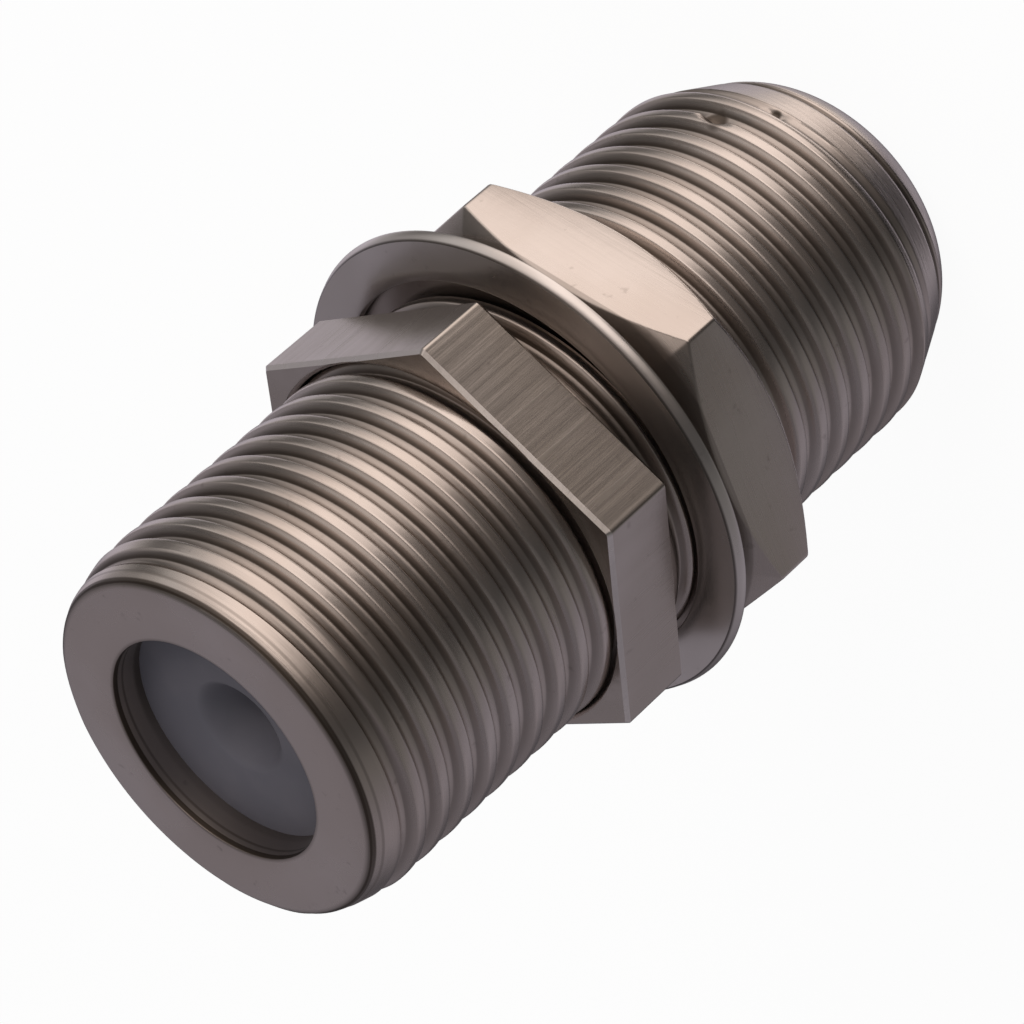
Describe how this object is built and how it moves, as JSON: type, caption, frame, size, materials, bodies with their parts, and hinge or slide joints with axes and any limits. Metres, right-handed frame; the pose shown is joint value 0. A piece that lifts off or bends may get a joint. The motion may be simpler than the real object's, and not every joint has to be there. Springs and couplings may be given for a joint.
{
  "type": "threaded coaxial barrel adapter",
  "caption": "Female-to-female coaxial barrel adapter: a nickel-plated threaded tube with a hexagon, a loose washer and nut, and a recessed socket at each end.",
  "frame": {"origin": "centre of the flat rear rim that the part stands on", "axes": "+Z along the barrel, from the rear rim to the front ring; +X through a corner of the fixed hexagon, on the side that the picture shows"},
  "size_m": [0.0126, 0.0125, 0.022],
  "materials": {
    "shell_nickel": "nickel plate over a turned shell, satin with bright crests",
    "washer_nickel": "nickel plate over a stamped disc, satin",
    "nut_nickel": "nickel plate over hexagon bar, satin with bright edges",
    "insulator_plastic": "blue-grey moulded plastic",
    "contact_bronze": "springy bronze, lightly polished"
  },
  "bodies": {
    "barrel": {"body_shell": "shell_nickel", "front_insulator": "insulator_plastic", "rear_insulator": "insulator_plastic", "centre_contact": "contact_bronze"},
    "washer": {"washer": "washer_nickel"},
    "nut": {"hex_nut": "nut_nickel"}
  },
  "joints": [
    {"name": "nut_turn", "type": "hinge", "parent": "barrel", "child": "washer", "pos_m": [0, 0, 0.011], "axis": [0, 0, 1], "range_deg": [-342, 3540]},
    {"name": "nut_travel", "type": "slide", "parent": "washer", "child": "nut", "axis": [0, 0, 1], "range_m": [-0.00075, 0.0078]}
  ],
  "couplings": [
    {"joint": "nut_turn", "follows": "nut_travel", "rad_per_m": 7915.8}
  ]
}
